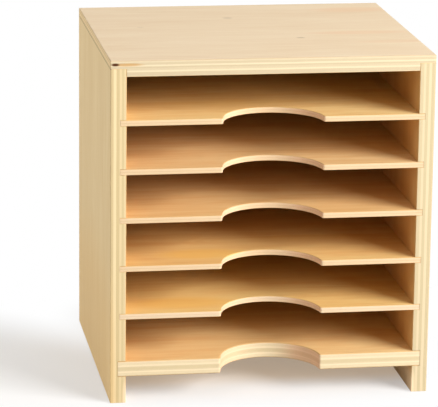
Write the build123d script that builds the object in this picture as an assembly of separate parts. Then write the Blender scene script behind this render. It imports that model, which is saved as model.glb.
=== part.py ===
"""Plywood paper rack: six open trays for twelve-inch craft paper, between two side panels.

Units are millimetres. The origin is on the floor under the middle of the rack: +X to the right,
+Y to the back and +Z up, so the open front faces -Y. Every panel is a plywood sheet of its own:

  side panels    stand on the floor and carry one through housing (groove) for each shelf,
                 a deeper one for the base board, and a rebate for the back panel
  top panel      laps over both side panels and over the back panel with a thin lip
  base board     thick board under the lowest tray
  shelves        thin boards, slid into the housings and flush with the front edges
  back panel     thin board in the rebates, held by countersunk screws

The base board and the shelves each have a half-round scoop in the front edge, so that fingers can
take hold of the paper.
"""

from build123d import *
import os

# Overall sizes
WIDTH = 356.0  # across the outer faces of the side panels
DEPTH = 316.0  # front edges to the rear face of the back panel
FOOT_HEIGHT = 30.0  # floor to the underside of the base board
TRAY_HEIGHT = 47.6  # clear height of each tray
TRAY_COUNT = 6

# Plywood
BOARD = 17.5  # side panels, top panel and base board
SHEET = 6.5  # shelves and back panel
ROUNDING = 1.0  # radius on the outer edges and corners of the side panels and the top panel
BASE_EASING = 0.8  # chamfer on the front edge and scoop of the base board
SHELF_EASING = 0.5  # chamfer on the front edge and scoop of a shelf, and on the mouth of each tray
SEAM_EASING = 0.3  # chamfer on both sides of the seam between the top panel and a side panel

# Joints between the panels
LIP = 9.0  # what is left of the top panel where it laps over the sides and the back
BASE_HOUSING = 9.0  # how far the base board goes into each side panel
SHELF_HOUSING = 7.0  # how far a shelf goes into each side panel
BACK_REBATE = 9.0  # how far the back panel goes into each side panel
PLAY = 0.3  # a housing is this much wider than the board in it
END_GAP = 0.3  # between a board's end and the bottom of its housing or rebate

# Scoops
SCOOP_RADIUS = 55.5
SCOOP_OFFSET = 4.0  # the circle's centre lies this far in front of the front edge
SCOOP_CORNER = 2.5  # rounding where the scoop runs out into the front edge

# Back panel screws
SCREW_LENGTH = 20.0
SCREW_CORE = 2.4  # shank diameter
SCREW_HEAD = 5.6  # diameter of the countersunk head
SCREW_HEAD_HEIGHT = 1.7
SCREW_POINT = 3.6  # length of the tapered point
SCREW_TIP = 0.6  # diameter at the very end of the point
RECESS_SPAN = 3.4  # across the cross recess, tip to tip
RECESS_ARM = 0.9  # width of its arms
RECESS_DEPTH = 0.8
SCREW_CLEARANCE = 0.1  # between a screw and its hole, all round
CROSS_SCREW_INSET = 60.0  # from the inner face of a side panel to the first screw of a row across
SIDE_SCREW_TRAYS = (2, 5)  # behind which trays, counted from below, the side panels take a screw
CROSS_SCREWS = 2  # along the top panel and along the base board

# Sizes that follow
INNER_WIDTH = WIDTH - 2 * BOARD
SHELF_COUNT = TRAY_COUNT - 1
SHELF_PITCH = TRAY_HEIGHT + SHEET
BASE_TOP = FOOT_HEIGHT + BOARD
INNER_TOP = BASE_TOP + TRAY_COUNT * TRAY_HEIGHT + SHELF_COUNT * SHEET
HEIGHT = INNER_TOP + BOARD
LIP_UNDERSIDE = HEIGHT - LIP
FRONT = -DEPTH / 2
REAR = DEPTH / 2
BACK_FACE = REAR - SHEET  # the plane in which the back panel meets the other panels
SHELF_BOTTOMS = [BASE_TOP + TRAY_HEIGHT + i * SHELF_PITCH for i in range(SHELF_COUNT)]
BACK_HALF_WIDTH = INNER_WIDTH / 2 + BACK_REBATE - END_GAP
BACK_TOP = LIP_UNDERSIDE - PLAY
FRONT_PLANE = Plane.XZ.offset(DEPTH / 2)  # local x is +X and local y is +Z
CONTACT = 1e-3  # two places closer than this are the same place


def tray_middle(number):
    """Height of the middle of a tray, counted from 1 at the bottom."""
    return BASE_TOP + (number - 1) * SHELF_PITCH + TRAY_HEIGHT / 2


def screw_places():
    """Where the screws enter the back panel's rear face, grouped by the panel that they hold to."""
    side_x = INNER_WIDTH / 2 + BACK_REBATE / 2
    heights = [tray_middle(number) for number in SIDE_SCREW_TRAYS]
    cross_end = INNER_WIDTH / 2 - CROSS_SCREW_INSET
    cross_step = 2 * cross_end / (CROSS_SCREWS - 1)
    across = [-cross_end + i * cross_step for i in range(CROSS_SCREWS)]
    return {
        "left": [(-side_x, REAR, z) for z in heights],
        "right": [(side_x, REAR, z) for z in heights],
        "top": [(x, REAR, (INNER_TOP + LIP_UNDERSIDE) / 2) for x in across],
        "base": [(x, REAR, FOOT_HEIGHT + BOARD / 2) for x in across],
    }


def turned(*outline):
    """The solid that a half outline beside the Y axis makes when it is turned about that axis."""
    with BuildSketch() as profile:
        with BuildLine():
            Polyline(*outline, close=True)
        make_face()
    return revolve(profile.sketch, Axis.Y)


def screw():
    """A countersunk screw with a cross recess: its head at the origin and its point towards -Y."""
    shank = SCREW_CORE / 2
    body = turned(
        (0, 0),
        (SCREW_HEAD / 2, 0),
        (shank, -SCREW_HEAD_HEIGHT),
        (shank, SCREW_POINT - SCREW_LENGTH),
        (SCREW_TIP / 2, -SCREW_LENGTH),
        (0, -SCREW_LENGTH),
    )
    arm = Box(RECESS_SPAN, 2 * RECESS_DEPTH, RECESS_ARM)
    return body - arm - Rot(Y=90) * arm


def screw_holes(group):
    """The countersunk pilot holes for one group of screws."""
    pilot = SCREW_CORE / 2 + SCREW_CLEARANCE
    depth = SCREW_LENGTH + SCREW_CLEARANCE
    hole = turned(
        (0, 0),
        (SCREW_HEAD / 2 + SCREW_CLEARANCE, 0),
        (pilot, -SCREW_HEAD_HEIGHT - SCREW_CLEARANCE),
        (pilot, -depth),
        (0, -depth),
    )
    return [Pos(place) * hole for place in screw_places()[group]]


def side_panel(hand):
    """One side panel: hand is -1 for the left and +1 for the right."""
    housings = [(FOOT_HEIGHT, BOARD, BASE_HOUSING)]
    housings += [(bottom, SHEET, SHELF_HOUSING) for bottom in SHELF_BOTTOMS]
    inner_x = hand * INNER_WIDTH / 2
    middle_x = hand * (WIDTH - BOARD) / 2
    with BuildPart() as panel:
        with BuildSketch(FRONT_PLANE):
            with Locations((middle_x, LIP_UNDERSIDE / 2)):
                Rectangle(BOARD, LIP_UNDERSIDE)
            for bottom, thickness, depth in housings:
                with Locations((inner_x, bottom + (thickness + PLAY) / 2)):
                    Rectangle(2 * depth, thickness + PLAY, mode=Mode.SUBTRACT)
        extrude(amount=-DEPTH)
        with Locations((inner_x, REAR, LIP_UNDERSIDE / 2)):
            Box(2 * BACK_REBATE, 2 * SHEET, LIP_UNDERSIDE, mode=Mode.SUBTRACT)
        outer_face = panel.faces().sort_by(Axis.X)[-1 if hand > 0 else 0]
        fillet(outer_face.edges().sort_by(Axis.Z)[:-1], ROUNDING)
        inner_front = Edge.make_line((inner_x, FRONT, 0), (inner_x, FRONT, LIP_UNDERSIDE))
        between_housings = [
            edge
            for edge in panel.edges().filter_by(Axis.Z)
            if edge.distance_to(inner_front) < CONTACT
        ]
        chamfer(between_housings, SHELF_EASING)
        outer_face = panel.faces().sort_by(Axis.X)[-1 if hand > 0 else 0]
        chamfer(outer_face.edges().sort_by(Axis.Z)[-1], SEAM_EASING)
    holes = screw_holes("right" if hand > 0 else "left")
    return panel.part - holes


def top_panel():
    """The top: its underside is cut back to the lip along the left, right and rear edges."""
    with BuildPart() as panel:
        with BuildSketch(FRONT_PLANE):
            with Locations((0, LIP_UNDERSIDE + LIP / 2)):
                Rectangle(WIDTH, LIP)
            with Locations((0, (INNER_TOP + LIP_UNDERSIDE) / 2)):
                Rectangle(INNER_WIDTH - PLAY, LIP_UNDERSIDE - INNER_TOP)
        extrude(amount=-DEPTH)
        rebate_height = LIP_UNDERSIDE - INNER_TOP
        with Locations((0, REAR, INNER_TOP + rebate_height / 2)):
            Box(WIDTH, 2 * SHEET, rebate_height, mode=Mode.SUBTRACT)
        corners = [
            edge
            for edge in panel.edges().filter_by(Axis.Z)
            if abs(edge.center().X) > WIDTH / 2 - CONTACT
        ]
        fillet(panel.faces().sort_by(Axis.Z)[-1].edges() + corners, ROUNDING)
        under_face = panel.faces().sort_by(Axis.Z)[0]
        chamfer(under_face.edges().sort_by(Axis.Y)[0], SHELF_EASING)
        lip_edges = [
            edge
            for edge in panel.edges().filter_by(Axis.Y)
            if abs(edge.center().X) > WIDTH / 2 - CONTACT
            and abs(edge.center().Z - LIP_UNDERSIDE) < CONTACT
        ]
        chamfer(lip_edges, SEAM_EASING)
    return panel.part - screw_holes("top")


def scooped_board(bottom, thickness, housing, rear_gap, easing):
    """A board between the side panels, with a half-round scoop in its front edge."""
    length = INNER_WIDTH + 2 * (housing - END_GAP)
    depth = BACK_FACE - rear_gap - FRONT
    with BuildPart() as board:
        with BuildSketch(Plane.XY.offset(bottom)):
            with Locations((0, FRONT + depth / 2)):
                Rectangle(length, depth)
            with Locations((0, FRONT - SCOOP_OFFSET)):
                Circle(SCOOP_RADIUS, mode=Mode.SUBTRACT)
            scoop_ends = [
                corner
                for corner in vertices()
                if corner.Y - FRONT < CONTACT and abs(corner.X) < SCOOP_RADIUS
            ]
            fillet(scoop_ends, SCOOP_CORNER)
        extrude(amount=thickness)
        faces = board.faces().sort_by(Axis.Z)
        outlines = faces[0].edges() + faces[-1].edges()
        chamfer([edge for edge in outlines if edge.center().Y < FRONT + SCOOP_RADIUS], easing)
    return board.part


def base_board():
    """The thick board under the lowest tray, drilled in its rear edge for the screws."""
    board = scooped_board(FOOT_HEIGHT, BOARD, BASE_HOUSING, rear_gap=0, easing=BASE_EASING)
    return board - screw_holes("base")


def shelf(bottom):
    """One of the thin boards between two trays."""
    return scooped_board(bottom, SHEET, SHELF_HOUSING, rear_gap=PLAY, easing=SHELF_EASING)


def back_panel():
    """The thin panel in the rebates, flush with the underside of the base board."""
    height = BACK_TOP - FOOT_HEIGHT
    panel = Pos(0, REAR - SHEET / 2, FOOT_HEIGHT + height / 2) * Box(
        2 * BACK_HALF_WIDTH, SHEET, height
    )
    for group in screw_places():
        panel -= screw_holes(group)
    return panel


def back_screws():
    """All the countersunk screws that hold the back panel."""
    places = [place for group in screw_places().values() for place in group]
    return Compound(children=[Pos(place) * screw() for place in places])


def build_parts():
    """Every piece of the rack by its name."""
    parts = {
        "left_side_panel": side_panel(-1),
        "right_side_panel": side_panel(1),
        "top_panel": top_panel(),
        "base_board": base_board(),
        "back_panel": back_panel(),
        "back_screws": back_screws(),
    }
    for number, bottom in enumerate(SHELF_BOTTOMS, start=1):
        parts[f"shelf_{number}"] = shelf(bottom)
    return parts


os.makedirs("parts", exist_ok=True)
for name, shape in build_parts().items():
    export_step(shape, f"parts/{name}.step")
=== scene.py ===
"""The looks of a plywood paper rack: wood, steel, light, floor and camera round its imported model.

Units are metres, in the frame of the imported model: +X to the right, +Y to the back and +Z up, with
the origin on the floor under the middle of the rack. Plies, grain and spots are small, so their
sizes and places are in millimetres, and so is the place that the wood and the steel work with.

Every board is solid plywood: its material knows the plies through the board's thickness and the
grain of each one, so that faces, edges, cut ends and scoops look as a saw would lay them bare.
"""

import math

import bpy
from mathutils import Matrix, Vector


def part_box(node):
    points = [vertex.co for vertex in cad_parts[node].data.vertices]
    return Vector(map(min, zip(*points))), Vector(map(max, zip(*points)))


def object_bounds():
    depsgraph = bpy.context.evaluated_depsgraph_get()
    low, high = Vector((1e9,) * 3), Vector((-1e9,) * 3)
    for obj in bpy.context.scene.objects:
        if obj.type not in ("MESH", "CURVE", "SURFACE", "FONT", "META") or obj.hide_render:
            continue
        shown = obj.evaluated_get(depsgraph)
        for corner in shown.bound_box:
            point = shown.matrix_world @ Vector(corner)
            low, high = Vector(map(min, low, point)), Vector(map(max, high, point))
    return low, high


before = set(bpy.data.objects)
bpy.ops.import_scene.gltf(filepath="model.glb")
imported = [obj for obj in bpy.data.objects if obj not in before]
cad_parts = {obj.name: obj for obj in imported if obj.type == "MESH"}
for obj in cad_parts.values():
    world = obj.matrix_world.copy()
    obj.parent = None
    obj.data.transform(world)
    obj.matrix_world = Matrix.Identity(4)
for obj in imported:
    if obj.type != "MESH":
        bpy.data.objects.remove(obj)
cad_low, cad_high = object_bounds()

MM = 1000.0  # millimetres in a metre
X, Y, Z = range(3)
WHITE = (1.0, 1.0, 1.0, 1.0)

# Camera: the photograph's own viewpoint
PHOTO_WIDTH = 438  # pixels
FOCAL_LENGTH = 2797.9  # pixels of the photograph
SENSOR_WIDTH = 36.0  # mm
FAR_CLIP = 50.0
CAMERA_PLACE = Vector((-0.5230, -3.0640, 0.9799))
CAMERA_YAW = math.radians(9.068)  # to the right of straight ahead
CAMERA_PITCH = math.radians(14.418)  # downwards
CAMERA_ROLL = math.radians(0.681)

# Soft boxes: degrees to the right of the front, degrees up, width, height, and level.
# A level of 1 shows a matt surface that faces the lamp in the colour that it is written in.
SOFT_BOXES = {
    "key": (47.0, 24.0, 1.95, 1.28, 1.5),
    "fill": (-112.0, 8.0, 2.0, 1.8, 0.455),
    "front": (-50.0, 38.0, 1.8, 0.9, 0.12),
    "top": (170.0, 65.0, 2.0, 2.0, 0.10),
    "rear": (168.0, 12.0, 2.2, 1.2, 0.24),
}
LIGHT_DISTANCE = 3.0
LIGHT_TARGET = Vector((0.0, -0.05, 0.19))
AMBIENT_LEVEL = 0.28  # the same for the sky

# Floor
FLOOR_SIZE = 16.0
FLOOR_DROP = 0.0002  # so that the feet and the floor aren't in one plane
FLOOR_COLOURS = ((0.90, 0.895, 0.89, 1.0), (0.89, 0.885, 0.88, 1.0))  # as the floor is seen
FLOOR_CLOUD = 0.4  # size of the clouds in which it wanders between them
FLOOR_BOUNCE = (0.60, 0.60, 0.60, 1.0)  # as it lights the rack
SHADOW_LIFT = 0.385  # share of white mixed into the shadows that the floor shows
WARM_LIFT = (0.98, 0.79, 0.61, 1.0)  # painted warm bounce light from the wood, in place of that white, under the rack
WARM_FADE = (-0.130, -0.080)  # along Y, where that starts and is complete
SHADOW_ACROSS = (0.59, 0.81, 0.0)  # about square to the way in which the rack's shadow runs
SHADOW_FADE = (-0.115, 0.030)  # along that, where the shadow starts and ends fading
CONTACT_LEFT = -0.08  # the shadow behind the back panel is kept from here to the right
CONTACT_REACH = 0.14  # how far behind
FRONT_FADE = (-0.125, -0.205)  # along Y, where the floor starts and ends turning white
FAR_FADE = (0.50, 0.85)  # the same, as distances from the middle of the rack

# Wood, with its sizes in millimetres
GLUE_THICKNESS = 0.12
PLY_WAVER = 0.7  # how far the plies wander up and down
FIBRE = (28.0, 0.9)  # length and width
PORE = (3.5, 0.25)
PORE_RANGE = (0.66, 0.76)  # of the noise, from no pore to a full one
PORE_TINT = 0.22
# how strongly the rounded edges are darkened with painted shade
ARRIS_SHADE_SHARE = 1.8
CELL = 0.5  # of the speckle where plies are cut across
RELIEF = 0.15
ROUGHNESS = (0.64, 0.80)  # which the fibres vary between
END_ROUGHNESS = 0.10  # added where plies are cut across
GLOSS = 0.15
SEAM_WIDTH = 0.7  # on each side of the joint between the lip and a side panel
SPOT_DEPTH = 3.0

# Places on the boards, in millimetres
OUTER_FACE = cad_high.x * MM
INNER_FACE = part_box("right_side_panel")[0].x * MM
FRONT_FACE = cad_low.y * MM
TOP_FACE = cad_high.z * MM
SEAM_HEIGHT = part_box("left_side_panel")[1].z * MM  # where the lip laps over the side panels
SEAM_START = OUTER_FACE - 1.2  # the seam's line shows on the outer faces alone

# Plies from each board's lowest coordinate: thickness in mm, and tone from bright 0 to dim 1.
# The first runs with the grain of the face, the second across it, and so on in turn.
TOP_PLIES = (
    (1.6, 0.35), (3.2, 0.65), (2.2, 0.00), (1.5, 0.40), (1.1, 0.40), (1.3, 0.65), (2.2, 0.00),
    (2.1, 0.55), (2.3, 0.25),
)
BASE_PLIES = (
    (1.2, 0.50), (2.8, 0.35), (2.2, 0.00), (1.5, 0.60), (1.5, 0.75), (1.7, 0.70), (2.3, 0.00),
    (2.0, 0.30), (2.3, 0.10),
)
LEFT_PLIES = (
    (1.4, 0.75), (1.8, 0.70), (3.4, 0.00), (3.0, 0.75), (3.0, 0.30), (2.0, 0.60), (2.9, 0.30),
)
RIGHT_PLIES = (
    (1.9, 0.60), (2.2, 0.60), (2.9, 0.15), (2.9, 0.70), (3.4, 0.05), (2.3, 0.75), (1.9, 0.55),
)
SHEET_PLIES = ((1.3, 0.05), (1.3, 0.30), (1.3, 0.60), (1.3, 0.20), (1.3, 0.00))

# Colours of bright and dim plies, along a board's edges
TOP_EDGES = ((0.715, 0.595, 0.390, 1.0), (0.520, 0.405, 0.250, 1.0))
BASE_EDGES = ((0.790, 0.640, 0.415, 1.0), (0.595, 0.475, 0.270, 1.0))
LEFT_EDGES = ((0.765, 0.610, 0.350, 1.0), (0.555, 0.415, 0.210, 1.0))
RIGHT_EDGES = ((0.700, 0.565, 0.355, 1.0), (0.530, 0.425, 0.245, 1.0))
SHEET_EDGES = ((0.770, 0.565, 0.345, 1.0), (0.605, 0.425, 0.240, 1.0))
PALE_SHEET_EDGES = ((0.780, 0.600, 0.400, 1.0), (0.635, 0.462, 0.285, 1.0))
# The same where a panel's ends are cut, and in the scoops
PANEL_ENDS = ((0.820, 0.610, 0.330, 1.0), (0.590, 0.430, 0.220, 1.0))
# In the scoops the ends are brighter and warmer than the edges: end grain, and painted light in
# place of the warm bounce light on the scoops' shaded sides
SCOOP_ENDS_AND_BOUNCE = ((0.900, 0.610, 0.385, 1.0), (0.810, 0.510, 0.290, 1.0))

# Faces: a pale and a warm colour, which each one wanders between
TOP_VENEER = ((0.800, 0.635, 0.430, 1.0), (0.740, 0.545, 0.340, 1.0))
LEFT_VENEER = ((0.770, 0.588, 0.322, 1.0), (0.710, 0.513, 0.259, 1.0))
# Painted shade: the right panel's outer face is a darker copy of the left one's, offsetting the key
# lamp that faces it
SHADED_RIGHT_VENEER = ((0.650, 0.490, 0.265, 1.0), (0.600, 0.425, 0.210, 1.0))
# Painted shade: the side panels' inner faces, darker and more orange than their outer faces, in
# place of the dim warm light inside the trays
SHADED_INNER_VENEER = ((0.740, 0.435, 0.165, 1.0), (0.680, 0.365, 0.120, 1.0))
BACK_VENEER = ((0.800, 0.575, 0.270, 1.0), (0.740, 0.500, 0.215, 1.0))
# The trays' floors are deeper orange than the outer faces: partly their own veneer, partly painted
# shade inside the trays
TRAY_VENEERS = {  # the trays' floors differ a little, as boards do
    "base_board": ((0.854, 0.599, 0.283, 1.0), (0.796, 0.492, 0.209, 1.0)),
    "shelf_1": ((0.844, 0.593, 0.236, 1.0), (0.791, 0.492, 0.176, 1.0)),
    "shelf_2": ((0.830, 0.566, 0.233, 1.0), (0.772, 0.468, 0.171, 1.0)),
    "shelf_3": ((0.830, 0.565, 0.265, 1.0), (0.772, 0.468, 0.193, 1.0)),
    "shelf_4": ((0.811, 0.565, 0.282, 1.0), (0.753, 0.466, 0.208, 1.0)),
    "shelf_5": ((0.888, 0.651, 0.302, 1.0), (0.830, 0.542, 0.219, 1.0)),
}

# Colours of details
ARRIS_SHADE = (0.46, 0.29, 0.13, 1.0)  # painted shade along the rounded edges
GLUE_LINE = (0.36, 0.25, 0.14, 1.0)
SEAM = (0.16, 0.11, 0.07, 1.0)
KNOT = (0.30, 0.19, 0.10, 1.0)
STREAK = (0.78, 0.48, 0.26, 1.0)
# the honey patches' colour, partly the wood's own and partly painted light
HONEY_AND_LIGHT = (0.86, 0.54, 0.14, 1.0)
AMBER = (0.54, 0.29, 0.09, 1.0)
RUST = (0.08, 0.022, 0.005, 1.0)
# painted shade, warmer and darker, on the left panel's outer face towards the floor
LOWER_SIDE_SHADE = (0.74, 0.48, 0.20, 1.0)
# painted bounce light on the feet's inner faces
FOOT_BOUNCE_LIGHT = (0.90, 0.68, 0.43, 1.0)
STEEL = ((0.48, 0.49, 0.50, 1.0), (0.66, 0.67, 0.66, 1.0))

# Spots: centre and radii in mm, colour and strength.
# The top panel has three pin knots, three warm streaks, and a flaw in its front edge.
TOP_SPOTS = (
    ((48.4, -48.1, TOP_FACE), (6.5, 3.5, 2.0), KNOT, 0.50),
    ((-14.5, 77.0, TOP_FACE), (7.5, 8.0, 2.0), KNOT, 0.22),
    ((-121.9, 29.4, TOP_FACE), (5.0, 3.5, 2.0), KNOT, 0.15),
    ((120.0, -23.0, TOP_FACE), (75.0, 14.0, SPOT_DEPTH), STREAK, 0.40),
    ((150.0, -78.0, TOP_FACE), (60.0, 12.0, SPOT_DEPTH), STREAK, 0.25),
    ((138.0, 117.0, TOP_FACE), (60.0, 22.0, SPOT_DEPTH), STREAK, 0.40),
    ((-160.0, FRONT_FACE, TOP_FACE - 4.3), (22.0, 6.0, 2.2), AMBER, 0.75),
    ((-172.8, FRONT_FACE, TOP_FACE - 4.1), (5.8, 6.0, 2.2), RUST, 1.0),
)
# Painted light and shade on the side panels: the feet's inner faces are paler, as painted light from
# the floor's bounce, and the left panel's outer face is warmer and darker towards the floor, as
# painted shade.
LEFT_PAINTED_LIGHT_AND_SHADE = (
    ((-OUTER_FACE, 0.0, 0.0), (10.0, 420.0, 200.0), LOWER_SIDE_SHADE, 0.50),
    ((-INNER_FACE, 0.0, 6.0), (6.0, 340.0, 30.0), FOOT_BOUNCE_LIGHT, 0.95),
)
RIGHT_PAINTED_LIGHT = (((INNER_FACE, 0.0, 6.0), (6.0, 340.0, 30.0), FOOT_BOUNCE_LIGHT, 0.95),)
# Honey-coloured patches on the trays' floors, partly the wood's own colour and partly painted light
# in the lit bands between shadows: middle x and y, half length, half width, strength
HONEY_AND_LIGHT_PATCHES = {
    "shelf_1": ((-95.0, -122.0, 75.0, 28.0, 0.60),),
    "shelf_2": ((-72.0, -117.0, 65.0, 26.0, 0.70), (60.0, -60.0, 80.0, 18.0, 0.25)),
    "shelf_5": ((-30.0, -80.0, 120.0, 20.0, 0.25),),
}


class Graph:
    """Adds nodes to one node tree, and returns the output socket of each."""

    def __init__(self, tree):
        self.tree = tree
        tree.nodes.clear()

    def node(self, kind, **settings):
        """A bare node with its settings."""
        node = self.tree.nodes.new("ShaderNode" + kind)
        for name, value in settings.items():
            setattr(node, name, value)
        return node

    def feed(self, socket, value):
        """Links a socket to another one, or sets its value."""
        if isinstance(value, bpy.types.NodeSocket):
            self.tree.links.new(value, socket)
        else:
            socket.default_value = value

    def math(self, operation, *values, clamp=False):
        """A number worked out from others."""
        node = self.node("Math", operation=operation, use_clamp=clamp)
        for socket, value in zip(node.inputs, values):
            self.feed(socket, value)
        return node.outputs[0]

    def vector(self, operation, *values):
        """A vector worked out from others, or its length or dot product."""
        node = self.node("VectorMath", operation=operation)
        for socket, value in zip(node.inputs, values):
            self.feed(socket, value)
        return node.outputs["Value" if operation in ("LENGTH", "DOT_PRODUCT") else "Vector"]

    def split(self, vector):
        """The three parts of a vector."""
        node = self.node("SeparateXYZ")
        self.feed(node.inputs[0], vector)
        return list(node.outputs)

    def join(self, x, y, z):
        """A vector from its three parts."""
        node = self.node("CombineXYZ")
        for socket, value in zip(node.inputs, (x, y, z)):
            self.feed(socket, value)
        return node.outputs[0]

    def smooth(self, value, low, high, start=0.0, end=1.0):
        """Turns value from low to high into start to end, with a soft start and end."""
        node = self.node("MapRange", interpolation_type="SMOOTHSTEP")
        for socket, given in zip(node.inputs, (value, low, high, start, end)):
            self.feed(socket, given)
        return node.outputs[0]

    # A Mix node has inputs for each kind of data: 2 and 3 take numbers, and 6 and 7 take colours.

    def blend(self, share, first, second):
        """A number between first and second."""
        node = self.node("Mix", data_type="FLOAT", clamp_factor=True)
        self.feed(node.inputs[0], share)
        self.feed(node.inputs[2], first)
        self.feed(node.inputs[3], second)
        return node.outputs[0]

    def mix(self, share, first, second):
        """A colour between first and second."""
        node = self.node("Mix", data_type="RGBA", clamp_factor=True)
        self.feed(node.inputs[0], share)
        self.feed(node.inputs[6], first)
        self.feed(node.inputs[7], second)
        return node.outputs[2]

    def noise(self, space, size, detail=2.0, roughness=0.5, distortion=0.0, seed=0.0):
        """Noise from 0 to 1 whose features have these sizes along the three axes of space."""
        scaled = self.vector("MULTIPLY", space, tuple(1 / length for length in size))
        moved = self.vector("ADD", scaled, (seed, 1.7 * seed, -2.3 * seed))
        node = self.node("TexNoise")
        values = {
            "Vector": moved, "Scale": 1.0, "Detail": detail, "Roughness": roughness,
            "Distortion": distortion,
        }
        for name, value in values.items():
            self.feed(node.inputs[name], value)
        return node.outputs["Fac"]

    def centred(self, *given, **settings):
        """The same noise, from -0.5 to 0.5."""
        return self.math("SUBTRACT", self.noise(*given, **settings), 0.5)

    def layers(self, value, stops):
        """The colour of the last stop, a (place, colour) pair, that value has passed."""
        node = self.node("ValToRGB")
        node.color_ramp.interpolation = "CONSTANT"
        elements = node.color_ramp.elements
        elements.remove(elements[-1])
        for number, (place, colour) in enumerate(stops):
            element = elements[0] if number == 0 else elements.new(place)
            element.position, element.color = place, colour
        self.feed(node.inputs[0], value)
        return node.outputs["Color"]

    def spot(self, space, centre, radii, softness=0.6):
        """1 inside an ellipsoid, falling to 0 at its surface."""
        offset = self.vector("SUBTRACT", space, centre)
        reach = self.vector("LENGTH", self.vector("DIVIDE", offset, radii))
        return self.smooth(reach, 1.0, 1.0 - softness)

    def bump(self, height, strength, distance):
        """A normal, from a height and the relief in metres that it stands for."""
        node = self.node("Bump")
        for name, value in (("Height", height), ("Strength", strength), ("Distance", distance)):
            self.feed(node.inputs[name], value)
        return node.outputs["Normal"]

    def finish(self, surface):
        """Makes a shader's output the surface."""
        self.feed(self.node("OutputMaterial").inputs["Surface"], surface)


def new_material(name):
    """An empty material, and the graph that fills it."""
    material = bpy.data.materials.new(name)
    material.use_nodes = True
    return material, Graph(material.node_tree)


def ply_stops(plies):
    """Ramp stops through a board: red is the tone, green 1 in crosswise plies, blue 1 in glue."""
    thickness = sum(ply for ply, tone in plies)
    stops, depth = [], 0.0
    for number, (ply, tone) in enumerate(plies):
        if number:
            stops.append(((depth - GLUE_THICKNESS / 2) / thickness, (tone, 0.5, 1.0, 1.0)))
        stops.append(((depth + GLUE_THICKNESS / 2) / thickness if number else 0.0,
                      (tone, number % 2, 0.0, 1.0)))
        depth += ply
    return stops


def find_ply(graph, wood, depth, plies, seed):
    """The tone of the ply at this depth, 1 where it runs across, and 1 in the glue."""
    waver = graph.centred(wood, (70, 70, 400), seed=seed)
    wavered = graph.math("MULTIPLY_ADD", waver, PLY_WAVER, depth)
    share = graph.math("DIVIDE", wavered, sum(ply for ply, tone in plies))
    layer = graph.node("SeparateColor")
    graph.feed(layer.inputs[0], graph.layers(share, ply_stops(plies)))
    return layer.outputs


def along_grain(graph, wood, crosswise, size, seeds, **settings):
    """Noise that is drawn out along the grain of each ply. size is its length and width."""
    length, width = size
    return graph.blend(
        crosswise,
        graph.noise(wood, (length, width, width), seed=seeds[0], **settings),
        graph.noise(wood, (width, length, width), seed=seeds[1], **settings),
    )


def face_figure(graph, wood, fibre, contrast, seed):
    """How warm a peeled face is: clouds, wandering growth rings, fibres, streaks and bands."""
    clouds = graph.centred(wood, (170, 28, 60), detail=3, roughness=0.55, distortion=0.4, seed=seed)
    contour = graph.noise(wood, (330, 75, 60), detail=1, distortion=0.6, seed=seed + 11)
    rings = graph.math("SINE", graph.math("MULTIPLY", contour, 75.0))
    ring_share = graph.smooth(graph.noise(wood, (120, 40, 60), seed=seed + 13), 0.42, 0.62)
    streaks = graph.smooth(
        graph.noise(wood, (150, 5, 60), detail=3, roughness=0.6, seed=seed + 17), 0.56, 0.74
    )
    bands = graph.centred(wood, (95, 9, 60), roughness=0.6, distortion=0.3, seed=seed + 19)
    figure = 0.4
    for pattern, weight in (
        (clouds, 1.60),
        (graph.math("MULTIPLY", rings, ring_share), 0.10),
        (graph.math("SUBTRACT", fibre, 0.5), 0.60),
        (streaks, 0.45),
        (bands, 0.90),
    ):
        figure = graph.math("MULTIPLY_ADD", pattern, weight * contrast, figure)
    return figure


def sawn_edge(graph, wood, tone, glue, fibre, end_on, edges, ends, seed):
    """The plies and the glue between them, in the ends' colours where the grain is seen end on."""
    fibres = graph.math("SUBTRACT", fibre, 0.5)
    edge_tone = graph.math("MULTIPLY_ADD", fibres, 0.4, tone, clamp=True)
    cells = graph.centred(wood, (CELL, CELL, CELL), seed=seed + 9)
    end_tone = graph.math("MULTIPLY_ADD", cells, 0.8, edge_tone, clamp=True)
    colour = graph.mix(graph.smooth(end_on, 0.0, 0.5), graph.mix(edge_tone, *edges),
                       graph.mix(end_tone, *ends))
    return graph.mix(graph.math("MULTIPLY", glue, 0.5), colour, GLUE_LINE)


def with_spots(graph, place, colour, spots):
    """A colour with stains, knots and patches of painted light and shade on it."""
    for centre, radii, stain, strength in spots:
        share = graph.math("MULTIPLY", graph.spot(place, centre, radii), strength)
        colour = graph.mix(share, colour, stain)
    return colour


def with_seam(graph, parts, colour):
    """A colour with the fine dark line of the joint between the lip and a side panel."""
    apart = graph.math("ABSOLUTE", graph.math("SUBTRACT", parts[Z], SEAM_HEIGHT))
    outside = graph.math("GREATER_THAN", graph.math("ABSOLUTE", parts[X]), SEAM_START)
    line = graph.math("MULTIPLY", outside, graph.smooth(apart, SEAM_WIDTH, 0.0, 0.0, 0.85))
    return graph.mix(line, colour, SEAM)


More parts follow.
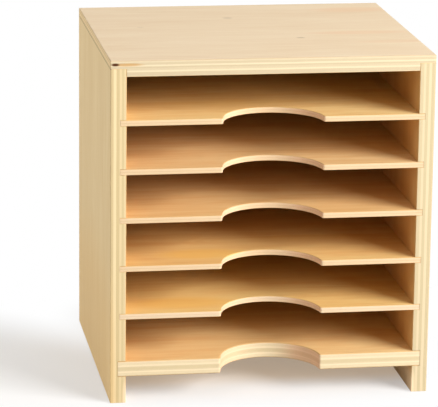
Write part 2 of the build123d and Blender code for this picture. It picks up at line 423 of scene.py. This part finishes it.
def plywood(node, grain, plies, edges, ends, veneers, seed, contrast=1.0, spots=(), seam=False):
    """Plywood for one CAD node. grain is the axis, 0 to 2, that the grain of its faces runs along.

    edges and ends are the colours of bright and dim plies. veneers are the faces at the board's low
    and high side, and contrast says how far they wander. seam says whether the lip's seam shows.
    """
    material, graph = new_material(node + "_plywood")
    low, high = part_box(node)
    through = min(range(3), key=lambda axis: high[axis] - low[axis])
    cross = 3 - grain - through

    coordinates = graph.node("TexCoord").outputs
    place = graph.vector("MULTIPLY", coordinates["Object"], (MM, MM, MM))
    parts = graph.split(place)
    facing = [graph.math("MULTIPLY", part, part) for part in graph.split(coordinates["Normal"])]
    depth = graph.math("SUBTRACT", parts[through], low[through] * MM)
    wood = graph.join(parts[grain], parts[cross], depth)

    tone, crosswise, glue = find_ply(graph, wood, depth, plies, seed)
    fibre = along_grain(graph, wood, crosswise, FIBRE, (seed, seed + 3), detail=3, roughness=0.6)
    pores = graph.smooth(
        along_grain(graph, wood, crosswise, PORE, (seed + 5, seed + 7), detail=1), *PORE_RANGE
    )
    figure = face_figure(graph, wood, fibre, contrast, seed)
    at_high_side = graph.math("GREATER_THAN", depth, sum(ply for ply, tone in plies) / 2)
    face = graph.mix(at_high_side, *(graph.mix(figure, pale, warm) for pale, warm in veneers))
    edge = sawn_edge(graph, wood, tone, glue, fibre, facing[grain], edges, ends, seed)

    colour = graph.mix(graph.smooth(facing[through], 0.15, 0.45), edge, face)
    slope = graph.math("MULTIPLY", facing[through], graph.math("SUBTRACT", 1.0, facing[through]))
    # Painted shade: the rounded edges are darkened where the surface turns between a face and an
    # edge.
    colour = graph.mix(graph.math("MULTIPLY", slope, ARRIS_SHADE_SHARE), colour, ARRIS_SHADE)
    colour = graph.mix(graph.math("MULTIPLY", pores, PORE_TINT), colour, GLUE_LINE)
    colour = with_spots(graph, place, colour, spots)
    if seam:
        colour = with_seam(graph, parts, colour)

    cut_across = graph.blend(crosswise, facing[grain], facing[cross])
    roughness = graph.blend(fibre, *ROUGHNESS)
    roughness = graph.math("MULTIPLY_ADD", cut_across, END_ROUGHNESS, roughness)
    shader = graph.node("BsdfPrincipled")
    shader.inputs["Specular IOR Level"].default_value = GLOSS
    graph.feed(shader.inputs["Base Color"], colour)
    graph.feed(shader.inputs["Roughness"], roughness)
    height = graph.math("MULTIPLY_ADD", pores, -0.8, fibre)
    graph.feed(shader.inputs["Normal"], graph.bump(height, 0.25, RELIEF / MM))
    graph.finish(shader.outputs[0])
    return material


def plated_steel(name):
    """Zinc-plated steel: a patchy dull sheen over a fine grain."""
    material, graph = new_material(name)
    place = graph.vector("MULTIPLY", graph.node("TexCoord").outputs["Object"], (MM, MM, MM))
    patches = graph.noise(place, (1.2, 1.2, 1.2), detail=3, seed=2)
    grain = graph.noise(place, (0.12, 3.0, 0.12), seed=5)
    shader = graph.node("BsdfPrincipled")
    shader.inputs["Metallic"].default_value = 1.0
    graph.feed(shader.inputs["Base Color"], graph.mix(patches, *STEEL))
    graph.feed(shader.inputs["Roughness"], graph.blend(patches, 0.28, 0.46))
    graph.feed(shader.inputs["Normal"], graph.bump(grain, 0.3, 0.03 / MM))
    graph.finish(shader.outputs[0])
    return material


def white_to_lookers(graph):
    """1 for the rays that see the background: from the camera, and through mirrors and glass."""
    path = graph.node("LightPath")
    direct = graph.math("MAXIMUM", path.outputs["Is Camera Ray"], path.outputs["Is Glossy Ray"])
    return graph.math("MAXIMUM", direct, path.outputs["Is Transmission Ray"])


def side_shadow_fade(graph, place):
    """1 where the shadow to the rack's left, which runs along the key's light, has faded out."""
    return graph.smooth(graph.vector("DOT_PRODUCT", place, SHADOW_ACROSS), *SHADOW_FADE)


def rear_shadow_fade(graph, x, y):
    """1 where the shadow behind the back panel has faded out."""
    left = graph.math("SUBTRACT", CONTACT_LEFT, x)
    side = graph.math("MAXIMUM", graph.math("MAXIMUM", left, 0.0),
                      graph.math("SUBTRACT", x, cad_high.x))
    behind = graph.math("ABSOLUTE", graph.math("SUBTRACT", y, cad_high.y))
    distance = graph.vector("LENGTH", graph.join(side, behind, 0.0))
    return graph.smooth(distance, 0.0, CONTACT_REACH)


def floor_material(name):
    """A pale floor that takes the rack's shadow to the left, behind and under it, with painted warm
    bounce light under the rack, and is plain white away from it."""
    material, graph = new_material(name)
    place = graph.node("TexCoord").outputs["Object"]
    x, y, _ = graph.split(place)

    between = graph.math("LESS_THAN", graph.math("ABSOLUTE", x), cad_high.x)
    under = graph.math("MULTIPLY", between, graph.math("LESS_THAN", y, cad_high.y))
    fade = graph.math("MULTIPLY", side_shadow_fade(graph, place), rear_shadow_fade(graph, x, y))
    fade = graph.math("MULTIPLY", fade, graph.math("SUBTRACT", 1.0, under))
    front = graph.smooth(y, *FRONT_FADE)
    far = graph.smooth(graph.vector("LENGTH", place), *FAR_FADE)
    white = graph.math("MAXIMUM", graph.math("MAXIMUM", fade, front), far)
    # Painted warm bounce light from the wood on the floor under the rack
    warmth = graph.math("MULTIPLY", under, graph.smooth(y, *WARM_FADE))

    lookers = white_to_lookers(graph)
    clouds = graph.noise(place, (FLOOR_CLOUD, FLOOR_CLOUD, FLOOR_CLOUD), seed=1)
    matt = graph.node("BsdfDiffuse")
    graph.feed(matt.inputs["Color"],
               graph.mix(lookers, FLOOR_BOUNCE, graph.mix(clouds, *FLOOR_COLOURS)))
    plain = graph.node("Emission")
    graph.feed(plain.inputs["Color"], graph.mix(warmth, WHITE, WARM_LIFT))
    choice = graph.node("MixShader")
    lifted = graph.blend(white, SHADOW_LIFT, 1.0)
    graph.feed(choice.inputs[0], graph.math("MULTIPLY", lifted, lookers))
    graph.feed(choice.inputs[1], matt.outputs[0])
    graph.feed(choice.inputs[2], plain.outputs[0])
    graph.finish(choice.outputs[0])
    return material


def make_floor():
    """A flat floor just under the feet."""
    half = FLOOR_SIZE / 2
    mesh = bpy.data.meshes.new("floor")
    corners = [(-half, -half, 0), (half, -half, 0), (half, half, 0), (-half, half, 0)]
    mesh.from_pydata(corners, [], [(0, 1, 2, 3)])
    mesh.materials.append(floor_material("floor"))
    floor = bpy.data.objects.new("floor", mesh)
    floor.location.z = -FLOOR_DROP
    bpy.context.scene.collection.objects.link(floor)


def make_world():
    """An even pale sky: white where it is seen, and softer where it only lights the rack."""
    world = bpy.data.worlds.new("studio")
    bpy.context.scene.world = world
    world.use_nodes = True
    graph = Graph(world.node_tree)
    background = graph.node("Background")
    background.inputs["Color"].default_value = WHITE
    strength = graph.blend(white_to_lookers(graph), AMBIENT_LEVEL, 1.0)
    graph.feed(background.inputs["Strength"], strength)
    graph.feed(graph.node("OutputWorld").inputs["Surface"], background.outputs[0])


def make_soft_box(name, azimuth, elevation, width, height, level):
    """A soft box that faces the rack. Its level is what it adds to a matt surface facing it."""
    azimuth, elevation = math.radians(azimuth), math.radians(elevation)
    back = Vector((
        math.sin(azimuth) * math.cos(elevation),
        -math.cos(azimuth) * math.cos(elevation),
        math.sin(elevation),
    ))
    light = bpy.data.lights.new(name, "AREA")
    light.shape = "RECTANGLE"
    light.size, light.size_y = width, height
    light.energy = level * (math.pi * LIGHT_DISTANCE) ** 2
    lamp = bpy.data.objects.new(name, light)
    lamp.location = LIGHT_TARGET + back * LIGHT_DISTANCE
    lamp.rotation_euler = (-back).to_track_quat("-Z", "Y").to_euler()
    bpy.context.scene.collection.objects.link(lamp)


def make_camera():
    """The photograph's viewpoint and focal length."""
    ahead = Vector((
        math.sin(CAMERA_YAW) * math.cos(CAMERA_PITCH),
        math.cos(CAMERA_YAW) * math.cos(CAMERA_PITCH),
        -math.sin(CAMERA_PITCH),
    ))
    level = Vector((math.cos(CAMERA_YAW), -math.sin(CAMERA_YAW), 0.0))
    upright = level.cross(ahead)
    right = level * math.cos(CAMERA_ROLL) + upright * math.sin(CAMERA_ROLL)
    up = upright * math.cos(CAMERA_ROLL) - level * math.sin(CAMERA_ROLL)
    lens = bpy.data.cameras.new("camera")
    lens.sensor_width = SENSOR_WIDTH
    lens.lens = FOCAL_LENGTH * SENSOR_WIDTH / PHOTO_WIDTH
    lens.clip_end = FAR_CLIP
    camera = bpy.data.objects.new("camera", lens)
    turn = Matrix((right, up, -ahead)).transposed()
    camera.matrix_world = Matrix.Translation(CAMERA_PLACE) @ turn.to_4x4()
    bpy.context.scene.collection.objects.link(camera)
    bpy.context.scene.camera = camera


def dress(node, material):
    """Gives a CAD node its material."""
    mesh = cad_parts[node].data
    mesh.materials.clear()
    mesh.materials.append(material)


def dress_panels():
    """The four panels round the trays."""
    dress("top_panel", plywood(
        "top_panel", X, TOP_PLIES, TOP_EDGES, PANEL_ENDS, (BACK_VENEER, TOP_VENEER), seed=4,
        contrast=0.9, spots=TOP_SPOTS, seam=True,
    ))
    dress("left_side_panel", plywood(
        "left_side_panel", Z, LEFT_PLIES, LEFT_EDGES, PANEL_ENDS, (LEFT_VENEER, SHADED_INNER_VENEER),
        seed=15, spots=LEFT_PAINTED_LIGHT_AND_SHADE, seam=True,
    ))
    dress("right_side_panel", plywood(
        "right_side_panel", Z, RIGHT_PLIES, RIGHT_EDGES, PANEL_ENDS, (SHADED_INNER_VENEER, SHADED_RIGHT_VENEER),
        seed=22, spots=RIGHT_PAINTED_LIGHT, seam=True,
    ))
    dress("back_panel", plywood(
        "back_panel", Z, SHEET_PLIES, SHEET_EDGES, PANEL_ENDS, (BACK_VENEER, BACK_VENEER), seed=31,
    ))


def dress_tray_floors():
    """The base board and the shelves, each with a figure and patches of its own."""
    for number, (board, veneer) in enumerate(TRAY_VENEERS.items()):
        plies, edges = {
            "base_board": (BASE_PLIES, BASE_EDGES), "shelf_1": (SHEET_PLIES, PALE_SHEET_EDGES),
        }.get(board, (SHEET_PLIES, SHEET_EDGES))
        upper_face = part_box(board)[1].z * MM
        spots = [
            ((x, y, upper_face), (half_length, half_width, SPOT_DEPTH), HONEY_AND_LIGHT, strength)
            for x, y, half_length, half_width, strength in HONEY_AND_LIGHT_PATCHES.get(board, ())
        ]
        dress(board, plywood(board, X, plies, edges, SCOOP_ENDS_AND_BOUNCE, (veneer, veneer),
                             seed=40 + 6 * number, contrast=1.7, spots=spots))


dress_panels()
dress_tray_floors()
dress("back_screws", plated_steel("screw_steel"))

make_floor()
make_world()
for name, settings in SOFT_BOXES.items():
    make_soft_box(name, *settings)
make_camera()
bpy.context.scene.view_settings.view_transform = "Standard"
